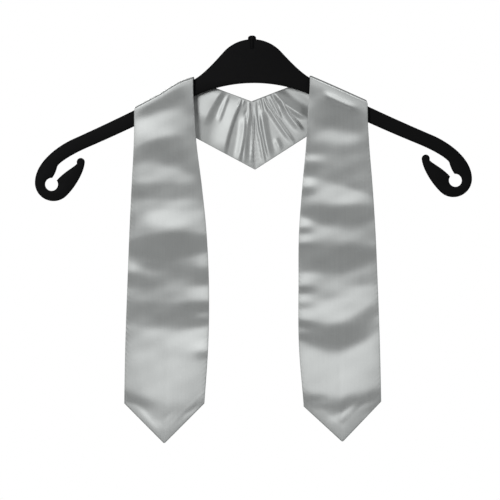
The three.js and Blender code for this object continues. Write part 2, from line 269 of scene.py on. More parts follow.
# The back panel: its centre seam, and the gathers that fan out from the top of it.
SEAM_TOP = (-0.6, -68.8)
SEAM_BOTTOM = (3.2, -140.7)
SEAM_HALF_GAP = 0.12
BACK_RUN = 90.0  # from the fold to the seam, for the spacing of the rows
BACK_CALM = 0.3  # the gathers come in over this share of the run
BACK_FULLNESS = 1.6
BACK_RIPPLE = 0.6  # how uneven the back is, beside the front
SEAM_PUCKER, SEAM_PUCKER_REACH = 0.2, 3.0  # the waves drawn up by the seam's stitches
NECK_ROLL, NECK_ROLL_END = 0.7, (0.2, 1.6)  # how far the neck edge rolls back, and where it ends
PLATE_MARGIN = 0.2  # air between the backing and the plate behind which it passes
GATHERS = (
    Crease(-50, -92, -31, -57, 1, 2.0, 24, 7),
    Crease(-35, -90, -25, -62, 0, 0.7, 5, 3),
    Crease(-29, -126, -12.2, -70, 2, 2.1, 21, 2.4),
    Crease(-14.5, -76, -11.5, -66, 0, 0.6, 2, 1.7),
    Crease(-14, -134, -7, -84, -1.5, 1.8, 8.5, 2.0),
    Crease(-8.5, -133, -2.6, -78, 0.8, 1.2, 2.6, 5),
    Crease(-1, -135, 1.6, -78, -0.6, 0.9, 2.4, 2),
    Crease(7, -106, 3, -75, 0, 0.7, 2, 2.4),
    Crease(13.5, -133, 7.4, -100, 0, 1.0, 4.5, 2),
    Crease(19, -130, 9.8, -79, 1, 1.4, 4, 7),
    Crease(44, -112, 14, -68, 1, 1.5, 6, 2.4),
    Crease(30.5, -86, 18.5, -62, 0, 1.1, 5, 2.4),
    Crease(53, -99, 31, -70, 1, 1.8, 8, 2.6),
    Crease(59, -86, 22, -58.5, 3, 2.2, 6, 12),
    Crease(30, -120, 25, -108, 0, 0.7, 5, 5),
    Crease(-10, -73, -7.5, -66, 0, 0.5, 1.6, 1.5),
    Crease(-2.8, -81, -3.2, -69, 0, 0.6, 1.8, 1.6),
    Crease(-8.2, -84, -5.6, -79.5, 0, -0.6, 1.8, 1.8),
    Crease(11, -79, 8.3, -66, 0, 0.7, 1.7, 2),
    Crease(6.2, -75, 5.2, -70, 0, -0.6, 1.7, 1.7),
    Crease(17.5, -79, 12.2, -64, 0, 0.7, 2.1, 2),
)

ROWS_FRONT, ROWS_FOLD, ROWS_BACK = 270, 40, 130
COLUMNS = 62
EDGE_STEPS = (0.0, 0.12, 0.35, 0.7, 1.2, 1.9, 2.8)
MEAN_WIDTH = 75.0


# ---- Small tools --------------------------------------------------------------------------


def smooth(value, low=0.0, high=1.0):
    """0 below low, 1 above high, with a soft step between them."""
    share = np.clip((value - low) / (high - low), 0, 1)
    return share * share * (3 - 2 * share)


def mix(a, b, share):
    """From a to b, by a share from 0 to 1."""
    return a + (b - a) * share


def read_table(rows, key, column, at):
    """A column of a table at any key, on a smooth curve through its rows."""
    ordered = sorted(rows, key=lambda row: getattr(row, key))
    keys = np.array([getattr(row, key) for row in ordered], float)
    values = np.array([getattr(row, column) for row in ordered], float)
    slopes = np.gradient(values, keys)
    at = np.clip(at, keys[0], keys[-1])
    i = np.clip(np.searchsorted(keys, at) - 1, 0, len(keys) - 2)
    step = keys[i + 1] - keys[i]
    u = (at - keys[i]) / step
    return (
        (2 * u**3 - 3 * u**2 + 1) * values[i]
        + (u**3 - 2 * u**2 + u) * step * slopes[i]
        + (3 * u**2 - 2 * u**3) * values[i + 1]
        + (u**3 - u**2) * step * slopes[i + 1]
    )


def soften(field, times):
    """Evens out a grid of heights with its neighbours."""
    for _ in range(times):
        for axis in (0, 1):
            pad = [(1, 1) if a == axis else (0, 0) for a in (0, 1)]
            wide = np.pad(field, pad, mode="edge")
            before = np.take(wide, range(0, field.shape[axis]), axis)
            after = np.take(wide, range(2, field.shape[axis] + 2), axis)
            field = 0.25 * before + 0.5 * field + 0.25 * after
    return field


def spaced(length, count, ends=(True, True)):
    """Places from 0 to length, crowded at the ends where the cloth's edge is rounded."""
    start = list(EDGE_STEPS) if ends[0] else [0.0]
    finish = [length - step for step in reversed(EDGE_STEPS)] if ends[1] else [length]
    inner = np.linspace(start[-1], finish[0], count - len(start) - len(finish) + 2)
    return np.concatenate([start[:-1], inner, finish[1:]])


def new_object(name, vertices, faces):
    """A new mesh object in the scene."""
    mesh = bpy.data.meshes.new(name)
    mesh.from_pydata(vertices, [], faces)
    mesh.validate()
    piece = bpy.data.objects.new(name, mesh)
    bpy.context.scene.collection.objects.link(piece)
    return piece


# ---- Hanger -------------------------------------------------------------------------------


def arc(centre, radius, start, end, steps=CURVE_STEPS):
    """Points round a circle, both ends included. Angles in degrees."""
    return [on_circle(centre, radius, angle) for angle in np.linspace(start, end, steps + 1)]


def bezier(*handles, steps=CURVE_STEPS):
    """Points along a curve of three or four handles."""
    handles = np.array(handles, float)
    order = len(handles) - 1
    share = np.linspace(0, 1, steps + 1)[:, None]
    total = sum(
        math.comb(order, i) * (1 - share) ** (order - i) * share**i * handles[i]
        for i in range(order + 1)
    )
    return [tuple(point) for point in total]


def on_circle(centre, radius, angle):
    """One point on a circle. The angle is in degrees."""
    turn = math.radians(angle)
    return (centre[0] + radius * math.cos(turn), centre[1] + radius * math.sin(turn))


def sag_handle(start, end):
    """The middle handle of an arm's edge, which sags a little between its ends."""
    return ((start[0] + end[0]) / 2, (start[1] + end[1]) / 2 - 2 * ARM_SAG)


def hanger_half_outline():
    """The right half of the outline, from the top of the dome round to its lower middle."""
    dome = (0.0, DOME_TOP - DOME_RADIUS)
    flank_angle = 90 - math.degrees(DOME_FLANK)
    flank = on_circle(dome, DOME_RADIUS, flank_angle)
    inner, outer = ARM_TOP
    low_inner, low_outer = ARM_LOWER
    outside = CURL[0] + CURL_RADIUS
    throat = on_circle(EYE, EYE_RADIUS, 144)
    lip = on_circle(EYE, EYE_RADIUS, 95)
    spread = math.degrees(math.asin(low_inner[0] / LOWER_RADIUS))
    shoulder = (flank[0] + 12, flank[1] - 12 * math.tan(DOME_FLANK))
    points = arc(dome, DOME_RADIUS, 90, flank_angle)
    points += bezier(flank, shoulder, (inner[0] - 9, inner[1] + 4.7), inner)
    points += bezier(inner, sag_handle(inner, outer), outer)
    points += bezier(
        outer, (outer[0] + 18, outer[1] - 8.4), (outside, CURL[1] + 20), (outside, CURL[1])
    )
    points += arc(CURL, CURL_RADIUS, 0, -134, 2 * CURVE_STEPS)
    finger_side = (FINGER[0] - FINGER_RADIUS, FINGER[1])
    points += bezier(points[-1], (186.5, -156.7), (177.5, -141), finger_side)
    points += arc(FINGER, FINGER_RADIUS, 180, -20)
    points += bezier(points[-1], (186.6, -135.6), (199, -141), throat)
    points += arc(EYE, EYE_RADIUS, 144, 455, 2 * CURVE_STEPS)
    points += bezier(lip, (207.8, -143), (205.8, -135.2))
    points += bezier((205.8, -135.2), (202.5, -130), (188, -121.6), low_outer)
    points += bezier(low_outer, sag_handle(low_outer, low_inner), low_inner)
    points += arc((0.0, LOWER_MIDDLE - LOWER_RADIUS), LOWER_RADIUS, 90 - spread, 90)
    return points


def without_repeats(points, least=0.04):
    """Leaves out points that lie on the one before."""
    kept = [points[0]]
    for point in points[1:]:
        if math.dist(point, kept[-1]) > least:
            kept.append(point)
    return kept


def hung(points):
    """Turns points of the level hanger to the tilt that it hangs at."""
    points = np.array(points, float)
    cos, sin = math.cos(HANGER_TILT), math.sin(HANGER_TILT)
    x, z = points[:, 0].copy(), points[:, 2].copy()
    points[:, 0] = x * cos - z * sin
    points[:, 2] = x * sin + z * cos
    return points


def make_hanger_plate(radius):
    """A flat plate with rounded edges, made from the outline as a filled curve."""
    right = without_repeats(hanger_half_outline())
    outline = right + [(-x, z) for x, z in reversed(right[1:-1])]
    curve = bpy.data.curves.new("hanger_outline", "CURVE")
    curve.dimensions = "2D"
    curve.fill_mode = "BOTH"
    curve.extrude = HANGER_THICKNESS / 2 - radius
    curve.bevel_depth = radius
    curve.bevel_resolution = 5
    curve.offset = -radius
    spline = curve.splines.new("POLY")
    spline.points.add(len(outline) - 1)
    for point, (x, z) in zip(spline.points, outline):
        point.co = (x * MM, z * MM, 0, 1)
    spline.use_cyclic_u = True
    carrier = bpy.data.objects.new("hanger_outline", curve)
    bpy.context.scene.collection.objects.link(carrier)
    graph = bpy.context.evaluated_depsgraph_get()
    mesh = bpy.data.meshes.new_from_object(carrier.evaluated_get(graph))
    bpy.data.objects.remove(carrier)
    points = np.zeros(len(mesh.vertices) * 3)
    mesh.vertices.foreach_get("co", points)
    points = points.reshape(-1, 3)
    upright = np.stack([points[:, 0], -points[:, 2], points[:, 1]], axis=1)
    mesh.vertices.foreach_set("co", hung(upright).ravel())
    mesh.name = "hanger_plate"
    piece = bpy.data.objects.new("hanger_plate", mesh)
    bpy.context.scene.collection.objects.link(piece)
    return piece


def stud_mesh(name, grow):
    """The short hook stud, a turned shape let into the top of the dome."""
    profile = [(r + grow if r > 0 else 0, z + grow if z > -1 else z) for r, z in STUD_PROFILE]
    profile[0] = (0, STUD_PROFILE[0][1] - grow)
    vertices = [(0, 0, profile[0][1])]
    for r, z in profile[1:-1]:
        for k in range(STUD_STEPS):
            turn = 2 * math.pi * k / STUD_STEPS
            vertices.append((r * math.cos(turn), r * math.sin(turn), z))
    vertices.append((0, 0, profile[-1][1]))
    rings = len(profile) - 2
    last = len(vertices) - 1
    faces = []
    for k in range(STUD_STEPS):
        n = (k + 1) % STUD_STEPS
        faces.append((0, 1 + n, 1 + k))
        for ring in range(rings - 1):
            low, high = 1 + ring * STUD_STEPS, 1 + (ring + 1) * STUD_STEPS
            faces.append((low + k, low + n, high + n, high + k))
        top = 1 + (rings - 1) * STUD_STEPS
        faces.append((top + k, top + n, last))
    return new_object(name, (hung(vertices) * MM).tolist(), faces)


def cut_with(piece, cutter):
    """Cuts one solid out of another and keeps only the result."""
    modifier = piece.modifiers.new("socket", "BOOLEAN")
    modifier.operation = "DIFFERENCE"
    modifier.solver = "EXACT"
    modifier.object = cutter
    graph = bpy.context.evaluated_depsgraph_get()
    mesh = bpy.data.meshes.new_from_object(piece.evaluated_get(graph))
    piece.modifiers.clear()
    piece.data = mesh
    bpy.data.objects.remove(cutter)


def shade_moulded(piece, flat_limit=0.999):
    """Rounded faces are shaded smooth, and the two flat faces stay flat."""
    for polygon in piece.data.polygons:
        polygon.use_smooth = abs(polygon.normal.y) < flat_limit
    piece.data.set_sharp_from_angle(angle=math.radians(40))


# ---- Cloth --------------------------------------------------------------------------------


def arm_top(x):
    """Height of the tilted arm's top edge at a place across the hanger."""
    (x0, z0), (x1, z1) = ARM_TOP
    share = (np.abs(x) - x0) / (x1 - x0)
    return mix(z0, z1, share) - 4 * ARM_SAG * share * (1 - share) + x * math.tan(HANGER_TILT)


def plate_lower(x):
    """Height of the hanger's lower edge at a place across it."""
    (x0, z0), (x1, z1) = ARM_LOWER
    size = np.abs(x)
    arch = LOWER_MIDDLE - LOWER_RADIUS + np.sqrt(np.maximum(LOWER_RADIUS**2 - size**2, 0))
    share = (size - x0) / (x1 - x0)
    straight = mix(z0, z1, share) - 4 * ARM_SAG * share * (1 - share)
    return np.where(size < x0, arch, straight) + x * math.tan(HANGER_TILT)


ARM_SLOPE = math.atan2(ARM_TOP[0][1] - ARM_TOP[1][1], ARM_TOP[1][0] - ARM_TOP[0][0])
FOLD_HALF_DEPTH = HANGER_THICKNESS / MM / 2 + ARM_CLEARANCE + SEAM_STAND
CREST_RISE = (ARM_CLEARANCE + SEAM_STAND) / math.cos(ARM_SLOPE)


def fold_crest(half, x, across):
    """Height of the crest of the shoulder fold."""
    return arm_top(half.sign * x) + CREST_RISE + read_table(half.lifts, "across", "lift", across)


def crease_height(x, z, crease):
    """A soft ridge or furrow along one line, tapered at both ends."""
    run = np.array([crease.x1 - crease.x0, crease.z1 - crease.z0])
    length = np.hypot(*run)
    along = run / length
    right, up = x - crease.x0, z - crease.z0
    share = (right * along[0] + up * along[1]) / length
    aside = -right * along[1] + up * along[0]
    aside = aside - 4 * crease.bow * share * (1 - share)
    reach = np.where(aside > 0, crease.lit, crease.shaded)
    off = np.clip(np.abs(aside) / reach, 0, 1)
    body = 0.5 * (1 - smooth(off)) + 0.5 * (1 - off) ** 2
    ends = smooth(share, -0.08, 0.25) * (1 - smooth(share, 0.78, 1.08))
    return crease.rise * body * ends


def swell_height(z, across, swell):
    """A soft fold across the band, rounded at its crest and easing out at its feet."""
    crest = swell.z + swell.slant * (across - 0.5)
    off = np.hypot(z - crest, swell.round) - swell.round
    share = 1 - off / np.where(z > crest, swell.above, swell.below)
    height = 0.5 * (share + np.hypot(share, SWELL_FOOT))
    side = np.exp(-(((across - swell.across) / swell.reach) ** 2))
    return swell.rise * side * height


def across_band(inner, middle, outer, t):
    """A value given near both edges and in the middle, on one curve across the band."""
    u = (t - 0.5) / LINE_REACH
    return middle + 0.5 * (outer - inner) * u + (0.5 * (inner + outer) - middle) * u**2


def stand_out(half, z, across):
    """How far the front band stands out from the arm at every point."""
    columns = []
    for column, t in enumerate(across):
        drop = [-across_band(line.inner, line.middle, line.outer, t) for line in half.lines]
        out = [
            across_band(line.out_inner, line.out_middle, line.out_outer, t) for line in half.lines
        ]
        columns.append(np.interp(-z[:, column], np.maximum.accumulate(drop), out))
    return np.stack(columns, axis=1)


def ripple(x, z):
    """The slight unevenness of satin that has lain folded, calmer near the points."""
    lively = mix(STILL_SHARE, 1, smooth(z, *STILL_BELOW))
    return (
        0.08 * np.sin(0.17 * x + 0.03 * z + 0.6)
        + 0.06 * np.sin(0.10 * x - 0.07 * z + 2.1)
        + 0.025 * np.sin(0.33 * x + 0.09 * z + 4.0)
        + 0.036 * lively * np.sin(0.08 * x + 0.21 * z + 1.2)
        + 0.024 * lively * np.sin(0.15 * x - 0.31 * z + 0.5)
    )


def pucker(length, phase):
    """The small waves that a sewn edge draws up, uneven along it."""
    slow = 0.6 + 0.4 * np.sin(0.047 * length + phase)
    return slow * (np.sin(1.13 * length + phase) + 0.5 * np.sin(1.71 * length + 2.3 * phase))


def front_rows(half, across, count):
    """The front band's seam surface, from the pointed end up to the shoulder fold."""
    span = abs(half.hem[0] - fold_crest(half, half.fold_front[0], 0.0))
    share = (spaced(span, count + 1, (True, False)) / span)[:-1, None]
    t = across[None, :]
    fold_x = mix(*half.fold_front, t)
    top = fold_crest(half, fold_x, t) - FOLD_DEPTH
    level = mix(mix(*half.hem, t), top, share)
    inner = read_table(half.widths, "z", "inner", level)
    outer = read_table(half.widths, "z", "outer", level)
    x = half.sign * mix(mix(inner, outer, t), fold_x, smooth(share, SHOULDER_BLEND, 1))
    point = smooth(1 - share, 1 - TIP_REACH, 1)
    drop = half.tip_drop * (1 - np.abs(2 * t - 1))
    z = level - drop * point
    shape = sum(swell_height(z, t, swell) for swell in half.swells)
    shape = shape + sum(crease_height(x, z, crease) for crease in half.creases)
    calm = smooth(top - level, *FOLD_CALM)
    hem_line = mix(*half.hem, t) - drop
    slope = math.atan2(half.tip_drop, (half.widths[-1].outer - half.widths[-1].inner) / 2)
    from_hem = (z - hem_line) * math.cos(slope)
    hem = soften(-HEM_LIFT * smooth(from_hem, *HEM_END), 1)
    hang = soften(stand_out(half, z, across), LINE_ROUNDING)
    out = hang + soften(shape * calm, SWELL_ROUNDING) + hem + ripple(x, z) * calm
    y = -FOLD_HALF_DEPTH - out
    return np.stack([x, y, z], axis=-1), from_hem


def fold_rows(half, across, front_top, count):
    """The rounded fold over the hanger's arm, from front to back, in even steps."""
    columns = []
    for t, roll in zip(across, -front_top[:, 1] - FOLD_HALF_DEPTH):
        turn = np.linspace(0, math.pi, FOLD_SAMPLES)
        forward, upward = np.cos(turn), np.sin(turn)
        front = forward > 0
        power = np.where(front, FRONT_FOLD_POWER, FOLD_POWER)
        depth = FOLD_HALF_DEPTH + np.where(front, roll, 0)
        y = -depth * np.sign(forward) * np.abs(forward) ** (2 / power)
        rise = FOLD_DEPTH * (np.clip(upward, 0, 1) ** (2 / power) - 1)
        y = y - FOLD_OVERHANG * (rise + FOLD_DEPTH) * np.clip(forward, 0, 1)
        travel = np.concatenate([[0], np.cumsum(np.hypot(np.diff(y), np.diff(rise)))])
        stops = np.linspace(0, travel[-1], count + 1)[:-1]
        y, rise = np.interp(stops, travel, y), np.interp(stops, travel, rise)
        x = mix(mix(*half.fold_front, t), mix(*half.fold_back, t), stops / travel[-1])
        columns.append(np.stack([half.sign * x, y, fold_crest(half, x, t) + rise], axis=1))
    return np.stack(columns, axis=1)


def back_rows(half, across, count):
    """The back panel's seam surface, from the shoulder fold to the centre seam."""
    share = (spaced(BACK_RUN, count + 1, (False, True)) / BACK_RUN)[:, None]
    t = across[None, :]
    start_x = mix(*half.fold_back, t)
    start_z = fold_crest(half, start_x, t) - FOLD_DEPTH
    end_x = mix(SEAM_TOP[0], SEAM_BOTTOM[0], t) + half.sign * SEAM_HALF_GAP
    end_z = mix(SEAM_TOP[1], SEAM_BOTTOM[1], t)
    x = mix(half.sign * start_x, end_x, share)
    z = mix(start_z, end_z, share)
    calm = smooth(share, 0, BACK_CALM)
    shape = soften(sum(crease_height(x, z, crease) for crease in GATHERS), 1)
    from_seam = BACK_RUN * (1 - share)
    y = FOLD_HALF_DEPTH + calm * (BACK_FULLNESS - shape - BACK_RIPPLE * ripple(x, z))
    y = y + calm * SEAM_PUCKER * pucker(z, 1.3) * np.exp(-from_seam / SEAM_PUCKER_REACH)
    y = y + calm * NECK_ROLL * (1 - smooth(t * MEAN_WIDTH, *NECK_ROLL_END))
    behind = smooth(z - plate_lower(x), -5, 1)
    least = HANGER_THICKNESS / MM / 2 + PLATE_MARGIN + SEAM_STAND
    y = mix(y, np.maximum(y, least), behind)
    return np.stack([x, y, z], axis=-1)


def half_surface(half):
    """The seam surface of one half, with how far each point lies from a sewn edge."""
    across = spaced(MEAN_WIDTH, COLUMNS) / MEAN_WIDTH
    front, from_hem = front_rows(half, across, ROWS_FRONT)
    fold = fold_rows(half, across, front[-1], ROWS_FOLD)
    back = back_rows(half, across, ROWS_BACK)
    surface = np.concatenate([front, fold, back])
    grain = flat_layout(half, front, fold, back)
    steps = np.linalg.norm(np.diff(surface, axis=0), axis=2)
    length = np.concatenate([np.zeros((1, len(across))), np.cumsum(steps, axis=0)])
    span = np.linalg.norm(np.diff(surface, axis=1), axis=2)
    width = np.concatenate([np.zeros((len(surface), 1)), np.cumsum(span, axis=1)], axis=1)
    from_inner = width
    from_outer = width[:, -1:] - width
    from_seam = length[-1:] - length
    hem = np.full(length.shape, 1e3)
    hem[: len(front)] = from_hem
    edge = np.minimum(np.minimum(from_inner, from_outer), np.minimum(hem, from_seam))
    return surface, edge, length, grain, from_inner, from_outer


def flat_layout(half, front, fold, back):
    """Where each point of the cloth lies when the half is laid flat, with the grain upright."""
    line = np.array([math.cos(ARM_SLOPE) * half.sign, -math.sin(ARM_SLOPE)])
    upward = np.array([math.sin(ARM_SLOPE) * half.sign, math.cos(ARM_SLOPE)])
    start = front[-1][:, [0, 2]]
    steps = np.linalg.norm(np.diff(np.concatenate([front[-1:], fold]), axis=0)[..., 1:], axis=2)
    over = start + np.cumsum(steps, axis=0)[..., None] * upward
    turned_over = 2 * np.outer(line, line) - np.eye(2)
    behind = over[-1] + (back[:, :, [0, 2]] - fold[-1][:, [0, 2]]) @ turned_over
    return np.concatenate([front[:, :, [0, 2]], over, behind])


def grid_normals(surface):
    """Directions away from the arm at every point of the surface."""
    down = np.gradient(surface, axis=0)
    over = np.gradient(surface, axis=1)
    normal = np.cross(down, over)
    normal /= np.maximum(np.linalg.norm(normal, axis=2, keepdims=True), 1e-9)
    if normal[len(normal) // 3, normal.shape[1] // 2, 1] > 0:
        normal = -normal
    return normal


def shell_faces(high, wide):
    """Faces of a closed thin shell between two grids, as rows of corner numbers."""
    index = np.arange(high * wide).reshape(high, wide)
    inner = index + high * wide

    def quads(a, b, c, d):
        return np.stack([a.ravel(), b.ravel(), c.ravel(), d.ravel()], axis=1)

    parts = [
        quads(index[:-1, :-1], index[:-1, 1:], index[1:, 1:], index[1:, :-1]),
        quads(inner[:-1, :-1], inner[1:, :-1], inner[1:, 1:], inner[:-1, 1:]),
        quads(index[:-1, 0], index[1:, 0], inner[1:, 0], inner[:-1, 0]),
        quads(index[:-1, -1], inner[:-1, -1], inner[1:, -1], index[1:, -1]),
        quads(index[0, :-1], inner[0, :-1], inner[0, 1:], index[0, 1:]),
        quads(index[-1, :-1], index[-1, 1:], inner[-1, 1:], inner[-1, :-1]),
    ]
    return np.concatenate(parts)


def make_panel(half, layer, sizes):
    """One layer of one half: a thin closed shell with rounded, slightly puckered edges."""
    surface, edge, length, grain, from_inner, from_outer = half_surface(half)
    normal = grid_normals(surface)
    outward = 1 if layer == "face" else -1
    thickness = sizes.layer_thickness / MM
    rounding = sizes.edge_rounding / MM
    crown = (sizes.face_crown if layer == "face" else sizes.backing_crown) / MM
    near = np.clip(edge / rounding, 0, 1)
    rounded = np.sqrt(np.clip(1 - (1 - near) ** 2, 0, 1))
    waves = pucker(length, 0.7 + half.sign) * np.exp(-from_inner / PUCKER_REACH)
    waves = waves + pucker(length, 2.9 - half.sign) * np.exp(-from_outer / PUCKER_REACH)
    waves = waves * (sizes.pucker_height / MM)
    inside = LAYER_GAP + crown * (1 - np.exp(-edge / CROWN_REACH))
    outside = inside + mix(PRESSED_EDGE, thickness, rounded)
    sway = normal * waves[..., None]
    outer = surface + sway + normal * (outward * outside)[..., None]
    inner = surface + sway + normal * (outward * inside)[..., None]
    high, wide = edge.shape
    vertices = np.concatenate([outer.reshape(-1, 3), inner.reshape(-1, 3)]) * MM
    faces = shell_faces(high, wide)
    piece = new_object(f"{half.side}_{layer}_panel", vertices.tolist(), faces.tolist())
    mesh = piece.data
    if signed_volume(vertices, faces) < 0:
        mesh.flip_normals()
    mesh.shade_smooth()
    # Painted shade along every sewn edge, fading inwards.
    painted_shade = np.tile(np.exp(-edge / EDGE_SHADE_REACH).ravel(), 2)
    mesh.attributes.new(PAINTED_EDGE_SHADE, "FLOAT", "POINT").data.foreach_set("value", painted_shade)
    lay_grain(mesh, grain)
    return piece


def signed_volume(vertices, faces):
    """Six times the volume inside the faces, below zero where they are inside out."""
    corner = vertices[faces]
    first = np.cross(corner[:, 0], corner[:, 1])
    second = np.cross(corner[:, 0], corner[:, 2])
    return float((first * corner[:, 2]).sum() + (second * corner[:, 3]).sum())


def lay_grain(mesh, grain):
    """A flat map in metres: across the cloth first, then along it."""
    flat = np.tile(grain.reshape(-1, 2) * MM, (2, 1))
    corners = np.zeros(len(mesh.loops), np.int32)
    mesh.loops.foreach_get("vertex_index", corners)
    layer = mesh.uv_layers.new(name=GRAIN_MAP)
    layer.data.foreach_set("uv", flat[corners].ravel())


# ---- Materials ----------------------------------------------------------------------------


def start_material(name):
    """A new material with its one shader."""
    material = bpy.data.materials.new(name)
    material.use_nodes = True
    tree = material.node_tree
    shader = tree.nodes["Principled BSDF"]
    return material, tree, shader


def add_node(tree, kind, **settings):
    """A new node with the given settings."""
    node = tree.nodes.new(kind)
    for key, value in settings.items():
        setattr(node, key, value)
    return node


def scaled(tree, vector, scale):
    """A mapping node that stretches coordinates by a different amount each way."""
    mapping = add_node(tree, "ShaderNodeMapping")
    mapping.inputs["Scale"].default_value = scale
    tree.links.new(vector, mapping.inputs["Vector"])
    return mapping.outputs["Vector"]


def noise(tree, vector, scale, detail, roughness):
    """Smooth noise between 0 and 1."""
    node = add_node(tree, "ShaderNodeTexNoise")
    node.inputs["Scale"].default_value = scale
    node.inputs["Detail"].default_value = detail
    node.inputs["Roughness"].default_value = roughness
    tree.links.new(vector, node.inputs["Vector"])
    return node.outputs["Fac"]


def ranged(tree, value, low, high, source=(0.0, 1.0)):
    """A value stretched from its own range to low and high."""
    node = add_node(tree, "ShaderNodeMapRange")
    node.inputs["From Min"].default_value = source[0]
    node.inputs["From Max"].default_value = source[1]
    node.inputs["To Min"].default_value = low
    node.inputs["To Max"].default_value = high
    tree.links.new(value, node.inputs["Value"])
    return node.outputs["Result"]


def combine(tree, operation, first, second):
    """One sum of two values, each a number or another node's output."""
    node = add_node(tree, "ShaderNodeMath", operation=operation)
    for socket, value in zip(node.inputs, (first, second)):
        if isinstance(value, (int, float)):
            socket.default_value = value
        else:
            tree.links.new(value, socket)
    return node.outputs["Value"]


def tinted(tree, colour, brightness):
    """A colour made lighter or darker by a changing amount."""
    node = add_node(tree, "ShaderNodeVectorMath", operation="SCALE")
    node.inputs[0].default_value = colour
    tree.links.new(brightness, node.inputs["Scale"])
    return node.outputs["Vector"]


def add_bump(tree, height, strength, distance, normal=None):
    """A fine relief, laid over another one where that is given."""
    node = add_node(tree, "ShaderNodeBump")
    node.inputs["Strength"].default_value = strength
    node.inputs["Distance"].default_value = distance
    tree.links.new(height, node.inputs["Height"])
    if normal is not None:
        tree.links.new(normal, node.inputs["Normal"])
    return node.outputs["Normal"]


def make_satin(name, colour, sizes, roughness, anisotropy):
    """Silver satin: long warp floats, fine weft, soft slubs, and painted shade with a rougher finish
    along its sewn edges.
    """
    material, tree, shader = start_material(name)
    grain = add_node(tree, "ShaderNodeUVMap", uv_map=GRAIN_MAP).outputs["UV"]
    edge = add_node(tree, "ShaderNodeAttribute", attribute_name=PAINTED_EDGE_SHADE).outputs["Fac"]
    warp = noise(tree, scaled(tree, grain, (1 / sizes.warp_pitch, 90, 1)), 1.0, 2.0, 0.6)
    weft = noise(tree, scaled(tree, grain, (260, 1 / sizes.weft_pitch, 1)), 1.0, 1.0, 0.5)
    slub = noise(tree, scaled(tree, grain, (700, 14, 1)), 1.0, 3.0, 0.6)
    cloud = noise(tree, scaled(tree, grain, (38, 30, 1)), 1.0, 4.0, 0.55)
    shade = combine(tree, "ADD", ranged(tree, slub, 0.89, 1.06), ranged(tree, cloud, -0.04, 0.05))
    shade = combine(tree, "ADD", shade, ranged(tree, warp, -0.07, 0.07))
    # Painted shade: darker cloth along the sewn edges, where they turn away from the light.
    shade = combine(tree, "SUBTRACT", shade, combine(tree, "MULTIPLY", edge, 0.07))
    tree.links.new(tinted(tree, colour[:3], shade), shader.inputs["Base Color"])
    patchy = ranged(tree, cloud, roughness - 0.025, roughness + 0.025)
    gloss = combine(tree, "ADD", patchy, ranged(tree, slub, -0.02, 0.03))
    gloss = combine(tree, "ADD", gloss, combine(tree, "MULTIPLY", edge, 0.08))
    tree.links.new(gloss, shader.inputs["Roughness"])
    threads = add_bump(tree, warp, 0.35, 0.00004)
    threads = add_bump(tree, weft, 0.25, 0.00003, threads)
    tree.links.new(threads, shader.inputs["Normal"])
    across = add_node(tree, "ShaderNodeTangent", direction_type="UV_MAP", uv_map=GRAIN_MAP)
    tree.links.new(across.outputs["Tangent"], shader.inputs["Tangent"])
    shader.inputs["Metallic"].default_value = 0.6
    shader.inputs["Specular IOR Level"].default_value = 1.0
    shader.inputs["Anisotropic"].default_value = anisotropy
    shader.inputs["Sheen Weight"].default_value = 0.03
    shader.inputs["Sheen Roughness"].default_value = 0.4
    return material


def make_black_plastic(name, colour):
    """Injection-moulded black plastic with a fine spark finish and rubbed corners."""
    material, tree, shader = start_material(name)
    place = add_node(tree, "ShaderNodeTexCoord").outputs["Object"]
    corners = add_node(tree, "ShaderNodeNewGeometry").outputs["Pointiness"]
    flow = noise(tree, place, 22.0, 4.0, 0.6)
    spark = noise(tree, place, 2600.0, 2.0, 0.6)
    rub = noise(tree, place, 190.0, 5.0, 0.7)
    worn = combine(tree, "MULTIPLY", ranged(tree, corners, 0.0, 1.0, (0.52, 0.6)), rub)
    shade = combine(tree, "ADD", ranged(tree, flow, 0.8, 1.2), combine(tree, "MULTIPLY", worn, 0.9))
    tree.links.new(tinted(tree, colour[:3], shade), shader.inputs["Base Color"])
    gloss = combine(tree, "ADD", ranged(tree, flow, 0.5, 0.6), ranged(tree, rub, -0.06, 0.06))
    tree.links.new(gloss, shader.inputs["Roughness"])
    tree.links.new(add_bump(tree, spark, 0.3, 0.00005), shader.inputs["Normal"])
    shader.inputs["Specular IOR Level"].default_value = 0.05
    return material


def finish_piece(piece, material, slot_name, *nodes):
    """Gives a piece its material and its place in the part's tree."""
    piece.data.materials.clear()
    piece.data.materials.append(material)
    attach(piece, BODY)
    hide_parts(*nodes)


# ---- Stage --------------------------------------------------------------------------------

LAMP_DISTANCE = 4.5
FLOOR_SIZE = 3.0
SENSOR_WIDTH = 36


def aim(thing, target):
    """Turns a lamp or the camera towards a point."""
    direction = Vector(target) - thing.location
    thing.rotation_mode = "QUATERNION"
    thing.rotation_quaternion = direction.to_track_quat("-Z", "Y")


def make_lamp(name, azimuth, elevation, size, power, target):
    """An oblong soft lamp. Azimuth is from straight in front, to the right."""
    a, e = math.radians(azimuth), math.radians(elevation)
    lamp = bpy.data.lights.new(name, "AREA")
    lamp.shape = "RECTANGLE"
    lamp.size, lamp.size_y = size
    lamp.energy = power
    holder = bpy.data.objects.new(name, lamp)
    bpy.context.scene.collection.objects.link(holder)
    offset = Vector((math.sin(a) * math.cos(e), -math.cos(a) * math.cos(e), math.sin(e)))
    holder.location = Vector(target) + offset * LAMP_DISTANCE
    aim(holder, target)


